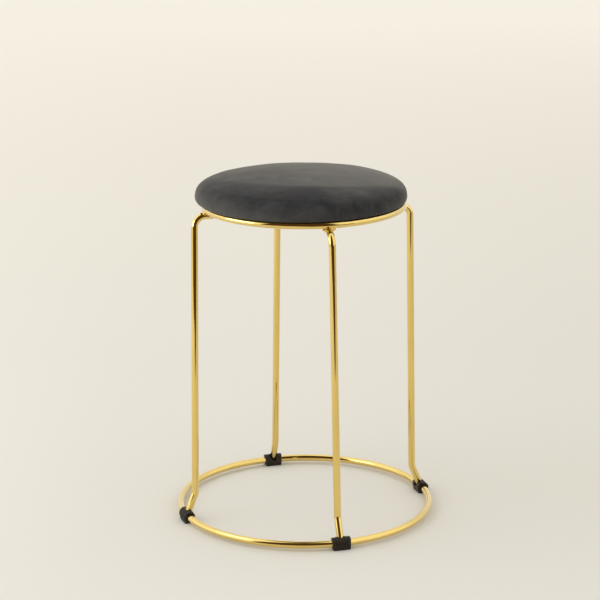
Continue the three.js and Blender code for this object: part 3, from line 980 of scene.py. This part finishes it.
class STOOL_OT_seat_fixings(bpy.types.Operator):
    """Add the seat tabs and their screws"""

    bl_idname = "stool.seat_fixings"
    bl_label = "Seat fixings"

    def execute(self, context):
        for number in TAB_NUMBERS:
            add_tab(number, context.scene.stool_frame)
            add_screw(number, context.scene.stool_frame)
        return {"FINISHED"}


# Cushion

def crown_share(reach):
    """How fully the crown swells at a distance from its middle: less and less towards its side"""
    fade_end_share = 1.25
    return soft_step(fade_end_share - reach / SEAT_RADIUS)


def cushion_profile(sizes, steps):
    """The pad's outline before it swells, from the axis below to the axis on top"""
    roll_steps, crown_edge_share = 8, 0.97
    widest = HEM_HEIGHT + sizes.roll
    side = SEAT_RADIUS + sizes.shrink
    rise = CROWN_TOP - widest - sizes.dome
    roll = arc_points(side - sizes.roll, widest, sizes.roll, -QUARTER, 0, roll_steps)
    points = [(0, HEM_HEIGHT), *roll]
    for step in range(1, steps + 1):
        round_reach = math.cos(QUARTER * step / steps) ** (2 / sizes.side_share)
        reach = side * min(round_reach, 2 - 2 * step / steps)
        full = (1 - (reach / side) ** sizes.side_share) ** (1 / sizes.top_share)
        domed = (1 - min(reach / SEAT_RADIUS / sizes.dome_share, 1) ** 2) ** 2
        sunk = sizes.swell_cap * crown_share(reach) * (reach < SEAT_RADIUS * crown_edge_share)
        points.append((reach, widest + rise * full + sizes.dome * domed - sunk))
    return points


def cloth_swell(pad, sizes):
    """Lets the pad's crown swell like stuffed fabric, held at its side, and caps the swell"""
    loosening = 1.2
    widest = HEM_HEIGHT + sizes.roll
    group = pad.vertex_groups.new(name="held")
    for vert in pad.data.vertices:
        free = soft_step((vert.co.z - widest) / (CROWN_TOP - widest) * loosening)
        group.add([vert.index], 1 - free, "REPLACE")
    cloth = pad.modifiers.new("Cloth", "CLOTH")
    settings = cloth.settings
    settings.quality = 6
    settings.mass = 0.25
    settings.tension_stiffness = 10
    settings.compression_stiffness = 20
    settings.shear_stiffness = 6
    settings.bending_stiffness = 4
    settings.use_pressure = True
    settings.uniform_pressure_force = 4
    settings.vertex_group_mass = "held"
    settings.effector_weights.gravity = 0
    cloth.collision_settings.use_collision = False
    rest = [(vert.co.copy(), vert.normal.copy()) for vert in pad.data.vertices]
    scene = bpy.context.scene
    scene.frame_start, scene.frame_end = 1, 20
    for number in range(scene.frame_start, scene.frame_end + 1):
        scene.frame_set(number)
    apply_modifiers(pad)
    for vert, (start, normal) in zip(pad.data.vertices, rest):
        outwards = (vert.co - start).dot(normal)
        share = crown_share(math.hypot(start.x, start.y))
        vert.co = start + normal * share * min(max(outwards, -sizes.dent_cap), sizes.swell_cap)
    scene.frame_set(scene.frame_start)


def brush_dents(pad):
    """Presses the soft, uneven dents of handled upholstery into the pad's crown"""
    depth, coarse_scale, fine_scale, fine_share = 0.8 * MM, 14, 33, 0.5
    rise_rate, rise_start = 1.6, 0.4
    for vert in pad.data.vertices:
        rise = (vert.co.z - HEM_HEIGHT) / (CROWN_TOP - HEM_HEIGHT)
        wave = noise.noise(vert.co * coarse_scale) + fine_share * noise.noise(vert.co * fine_scale)
        vert.co.z += depth * wave * soft_step(rise * rise_rate - rise_start)


def gather_hem(pad):
    """Presses the gathers of the folded-in velvet into the pad's underside"""
    depth, fade, gather_count, edge_share, crease_rate = 0.7 * MM, 12 * MM, 9, 0.97, 7
    for vert in pad.data.vertices:
        if vert.co.z > HEM_HEIGHT + depth:
            continue
        reach = math.hypot(vert.co.x, vert.co.y)
        wave = noise.noise(Vector((vert.co.x, vert.co.y, 0)) * gather_count / max(reach, MM))
        crease = soft_step(1 - crease_rate * abs(wave))
        vert.co.z += depth * crease * soft_step((SEAT_RADIUS * edge_share - reach) / fade)


def board_space():
    """The space inside the pad that the seat board fills, with its opening below"""
    hem_reach, gap, overrun, sides = 109.5 * MM, 0.3 * MM, 2 * MM, 160
    board_reach = (BOARD_BOX[1].y - BOARD_BOX[0].y) / 2 + gap
    bottom, top = BOARD_BOX[0].z - gap, BOARD_BOX[1].z + gap
    return spun_profile([
        (0, HEM_HEIGHT - overrun),
        (hem_reach, HEM_HEIGHT - overrun),
        (hem_reach, bottom),
        (board_reach, bottom),
        (board_reach, top),
        (0, top),
    ], sides)


def add_cushion(sizes):
    """The padded velvet cushion, swollen by a cloth simulation and hollow for its board"""
    sides, crown_steps = 144, 28
    profile = cushion_profile(sizes, crown_steps)
    pad = new_piece("cushion", spun_profile(profile, sides), material("velvet"))
    remesh = pad.modifiers.new("Remesh", "REMESH")
    remesh.mode = "VOXEL"
    remesh.voxel_size = sizes.voxel
    remesh.use_smooth_shade = True
    apply_modifiers(pad)
    cloth_swell(pad, sizes)
    subdivision = pad.modifiers.new("Subdivision", "SUBSURF")
    subdivision.levels = subdivision.render_levels = 1
    apply_modifiers(pad)
    brush_dents(pad)
    gather_hem(pad)
    cut_away(pad, [new_piece("space", board_space(), material("velvet"))])
    pad.data.transform(SEAT_PLACE)
    sharpen(pad, degrees=50)
    fit_in(pad, "velvet", "seat_cover", "seat_foam")


class STOOL_OT_cushion(bpy.types.Operator):
    """Add the velvet cushion"""

    bl_idname = "stool.cushion"
    bl_label = "Cushion"

    def execute(self, context):
        add_cushion(context.scene.stool_cushion)
        return {"FINISHED"}


def add_dust_cover(sizes):
    """The nonwoven cloth under the seat, stapled near its edge and sagging a little inside"""
    radius = (DUST_BOX[1].y - DUST_BOX[0].y) / 2
    thickness = DUST_BOX[1].z - DUST_BOX[0].z
    bands, sides = 60, 240
    tight, loosening, pull_start, pull_rise = 4 * MM, 30 * MM, 70 * MM, 40 * MM
    even_share, pull_share, wave_share, wave_scale = 0.6, 0.25, 0.5, 25
    points = [(radius * band / bands, DUST_BOX[0].z) for band in range(bands + 1)]
    bm = spun_profile(points, sides)
    for vert in bm.verts:
        reach = math.hypot(vert.co.x, vert.co.y)
        bearing = math.atan2(vert.co.y, vert.co.x)
        loose = soft_step((sizes.staple_reach - tight - reach) / loosening)
        pull = math.cos(bearing * STAPLE_COUNT) * soft_step((reach - pull_start) / pull_rise)
        wave = noise.noise(vert.co * wave_scale) * wave_share
        vert.co.z -= sizes.dust_sag * loose * (even_share + pull_share * pull + wave)
    dust = new_piece("dust_sheet", bm, material("dust"))
    solid = dust.modifiers.new("Thickness", "SOLIDIFY")
    solid.thickness = thickness
    solid.offset = 1 if dust.data.polygons[0].normal.z > 0 else -1
    apply_modifiers(dust)
    dust.data.transform(SEAT_PLACE)
    sharpen(dust, degrees=40)
    fit_in(dust, "dust_cloth", "dust_cover")


def add_staple(number, sizes):
    """One staple of round-cornered wire"""
    sides, bend_steps, bend_share, end_bevel = 16, 6, 1.2, 0.12 * MM
    wire = sizes.staple_wire / 2
    half = sizes.staple_crown / 2 - wire
    low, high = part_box(f"staple_{number:02d}")
    crown = low.z + wire
    corners = [
        Vector((side, 0, height))
        for side, height in ((-half, high.z), (-half, crown), (half, crown), (half, high.z))
    ]
    bm = bent_rod(corners, [bend_share * wire] * 2, wire, sides, bend_steps, end_bevel)
    turn = (number - 1) * TURN / STAPLE_COUNT
    bm.transform(SEAT_PLACE @ turned_to(turn, sizes.staple_reach) @ turned_to(QUARTER))
    staple = new_piece(f"wire_staple_{number:02d}", bm, material("steel"))
    fit_in(staple, "zinc_steel", f"staple_{number:02d}")


class STOOL_OT_underside(bpy.types.Operator):
    """Add the dust cover and its staples, and finish the seat board"""

    bl_idname = "stool.underside"
    bl_label = "Underside"

    def execute(self, context):
        sizes = context.scene.stool_cushion
        add_dust_cover(sizes)
        for number in range(1, STAPLE_COUNT + 1):
            add_staple(number, sizes)
        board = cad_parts["seat_board"]
        board.data.materials.clear()
        board.data.materials.append(material("plywood"))
        return {"FINISHED"}


# Studio

WHITE = (1, 0.985, 0.95)


def camera_basis(studio):
    """The way back to the camera along the floor, and the camera's right"""
    turn = studio.camera_turn
    back = Vector((math.sin(turn), -math.cos(turn), 0))
    right = Vector((math.cos(turn), math.sin(turn), 0))
    return back, right


def add_camera(studio):
    """The camera that took the photo, as fitted to it"""
    sensor_width, view_end = 36, 100
    back, right = camera_basis(studio)
    camera = new_object("camera", bpy.data.cameras.new("camera"))
    camera.data.sensor_width = sensor_width
    camera.data.lens = studio.lens
    camera.data.clip_end = view_end
    level_place = back * studio.camera_distance - right * studio.camera_aside
    camera.location = level_place + UP * studio.camera_height
    level = turned_to(studio.camera_turn) @ Matrix.Rotation(QUARTER, 4, "X")
    pitched = level @ Matrix.Rotation(-studio.camera_pitch, 4, "X")
    camera.rotation_euler = (pitched @ Matrix.Rotation(-studio.camera_roll, 4, "Z")).to_euler()
    bpy.context.scene.camera = camera


def floor_material(studio):
    """Matt pale paper, with painted light that makes it lighter on the left and far behind the stool,
    and painted shade that makes it darker on the right
    """
    left_start, left_end, right_end, far_start, far_end = -0.3, -1.8, 1.5, 0.8, 5.5
    cloud_share, left_share, right_share, far_share = 0.985, 1.18, 0.9, 1.2
    paper = Shader("floor", Roughness=0.9, Specular_IOR_Level=0.15)
    clouds = paper.spread(paper.noise(0.8, detail=2), 0.3, 0.7)
    near = paper.shades(clouds, studio.floor_color, cloud_share, 1)
    back, right = camera_basis(studio)
    aside = paper.towards(right)
    # Painted light, lighter towards the left, and painted shade, darker towards the right
    leftwards = paper.spread(aside, left_start, left_end)
    left_lit = paper.mix(leftwards, near, tinted(studio.floor_color, left_share))
    rightwards = paper.spread(aside, 0, right_end)
    lit = paper.mix(rightwards, left_lit, tinted(studio.floor_color, right_share))
    # Painted light, lighter far behind the stool
    far = paper.spread(paper.towards(-back), far_start, far_end)
    paper.set(Base_Color=paper.mix(far, lit, tinted(studio.floor_color, far_share)))
    return paper.material


def add_floor(studio):
    """The floor that the stool stands on"""
    bm = bmesh.new()
    bmesh.ops.create_grid(bm, x_segments=1, y_segments=1, size=studio.floor_size / 2)
    new_piece("floor", bm, floor_material(studio))


def stage_in_reflections(piece):
    """Hides a piece from all but glossy rays, so that it neither shows nor shades"""
    for ray in ("camera", "diffuse", "shadow", "transmission", "volume_scatter"):
        setattr(piece, f"visible_{ray}", False)


def add_dark_floor(studio):
    """The unlit, dark brown floor towards the camera, which only reflections meet"""
    lift = 2 * MM
    right_turn_share, right_start_share, left_start_share = 2.6, 1 / 7, 1 / 8
    left_share = math.tan(studio.dark_width - studio.dark_turn)
    right_share = math.tan(studio.dark_width - right_turn_share * studio.dark_turn)
    near, far = studio.dark_start, studio.floor_size / 2
    step = near + studio.dark_step
    corners = [
        (near * right_start_share, -near),
        (near * right_share, -near),
        (far * right_share, -far),
        (-far * left_share, -far),
        (-step * left_share, -step),
        (-step * left_start_share, -step),
    ]
    bm = bmesh.new()
    bmesh.ops.contextual_create(bm, geom=[bm.verts.new((*corner, lift)) for corner in corners])
    bm.transform(turned_to(studio.camera_turn))
    unlit = Shader(
        "dark_floor", Base_Color=(0.1, 0.05, 0.015), Roughness=1, Specular_IOR_Level=0)
    stage_in_reflections(new_piece("dark_floor", bm, unlit.material))


def add_key_light(studio):
    """A large, soft and slightly blue window light on the left"""
    back, right = camera_basis(studio)
    level = back * math.cos(studio.key_turn) + right * math.sin(studio.key_turn)
    way = level * math.cos(studio.key_pitch) + UP * math.sin(studio.key_pitch)
    key = new_object("key_light", bpy.data.lights.new("key_light", "AREA"))
    key.data.energy = studio.key_power
    key.data.size = studio.key_size
    key.data.color = (0.76, 0.86, 1)
    key.visible_glossy = False
    key.rotation_euler = way.to_track_quat("Z", "Y").to_euler()
    key.location = way * studio.key_reach


def add_bounce_card(studio):
    """A lit card close on the left, which only reflections meet"""
    half_width, bottom, top, reach = 0.2, 0.42, 0.7, 0.66
    bm = bmesh.new()
    verts = [bm.verts.new((side, -reach, bottom)) for side in (-half_width, half_width)]
    run_straight(bm, [bm.edges.new(verts)], (0, 0, top - bottom))
    bm.transform(turned_to(studio.camera_turn + studio.card_turn))
    white = Shader(
        "bounce_card", Base_Color=(1, 1, 1), Emission_Color=WHITE, Emission_Strength=studio.card_light)
    stage_in_reflections(new_piece("bounce_card", bm, white.material))


def add_world(studio):
    """Pale lit walls all round; reflections also meet the unlit end towards the camera"""
    unlit_start, unlit_end, dark_color = -0.08, 0.1, (1, 0.52, 0.2)
    far_end, far_start, far_share, left_share, right_share = -0.75, -0.2, 0.72, 1.12, 0.9
    world = bpy.data.worlds.new("studio")
    bpy.context.scene.world = world
    world.use_nodes = True
    walls = Graph(world.node_tree, "Generated")
    back, right = camera_basis(studio)
    dark_middle = Matrix.Rotation(studio.dark_turn, 3, "Z")
    inside = walls.times(walls.towards(dark_middle @ back), math.tan(studio.dark_width))
    off_middle = walls.join("ABSOLUTE", walls.towards(dark_middle @ right))
    unlit = walls.spread(walls.join("SUBTRACT", inside, off_middle), unlit_start, unlit_end)
    far = walls.spread(walls.towards(back), far_end, far_start, far_share, 1)
    left_to_right = walls.spread(walls.towards(right), -1, 1, left_share, right_share)
    dark = tinted(dark_color, studio.dark_light)
    shown = walls.mix(unlit, tinted(WHITE, studio.wall_light), dark)
    mirrored = walls.room(shown, walls.times(left_to_right, far))
    lighting = walls.room(tinted(WHITE, studio.room_light), left_to_right)
    backdrop = walls.room(studio.world_color, 1)
    light = walls.either("Is Glossy Ray", lighting, mirrored)
    surface = walls.either("Is Camera Ray", light, backdrop)
    walls.feed(walls.nodes["World Output"].inputs["Surface"], surface)


class STOOL_OT_studio(bpy.types.Operator):
    """Add the floor, the lamps, the surroundings and the camera"""

    bl_idname = "stool.studio"
    bl_label = "Studio"

    def execute(self, context):
        studio = context.scene.stool_studio
        add_camera(studio)
        add_floor(studio)
        add_dark_floor(studio)
        add_bounce_card(studio)
        add_world(studio)
        add_key_light(studio)
        context.scene.view_settings.view_transform = "Standard"
        return {"FINISHED"}


class STOOL_PT_panel(bpy.types.Panel):
    """The stool's pieces, sizes and finishes"""

    bl_idname = "STOOL_PT_panel"
    bl_label = "Vanity Stool"
    bl_space_type = "VIEW_3D"
    bl_region_type = "UI"
    bl_category = "Stool"

    def draw(self, context):
        layout = self.layout
        for operator in OPERATORS:
            layout.operator(operator.bl_idname)
        for name in SETTINGS:
            group = getattr(context.scene, name)
            box = layout.box()
            for prop in group.__annotations__:
                box.prop(group, prop)


SETTINGS = {
    "stool_frame": StoolFrameSizes,
    "stool_clips": StoolClipSizes,
    "stool_cushion": StoolCushionSizes,
    "stool_finishes": StoolFinishes,
    "stool_studio": StoolStudio,
}
OPERATORS = (
    STOOL_OT_studio,
    STOOL_OT_rings,
    STOOL_OT_legs,
    STOOL_OT_welds,
    STOOL_OT_foot_clips,
    STOOL_OT_seat_fixings,
    STOOL_OT_cushion,
    STOOL_OT_underside,
)
CLASSES = (*SETTINGS.values(), *OPERATORS, STOOL_PT_panel)


def register():
    for made in CLASSES:
        bpy.utils.register_class(made)
    for name, group in SETTINGS.items():
        setattr(bpy.types.Scene, name, bpy.props.PointerProperty(type=group))


def unregister():
    for name in SETTINGS:
        delattr(bpy.types.Scene, name)
    for made in reversed(CLASSES):
        bpy.utils.unregister_class(made)


def main():
    register()
    bpy.ops.stool.studio()
    bpy.ops.stool.rings()
    bpy.ops.stool.legs()
    bpy.ops.stool.welds()
    bpy.ops.stool.foot_clips()
    bpy.ops.stool.seat_fixings()
    bpy.ops.stool.cushion()
    bpy.ops.stool.underside()


if __name__ == "__main__":
    main()
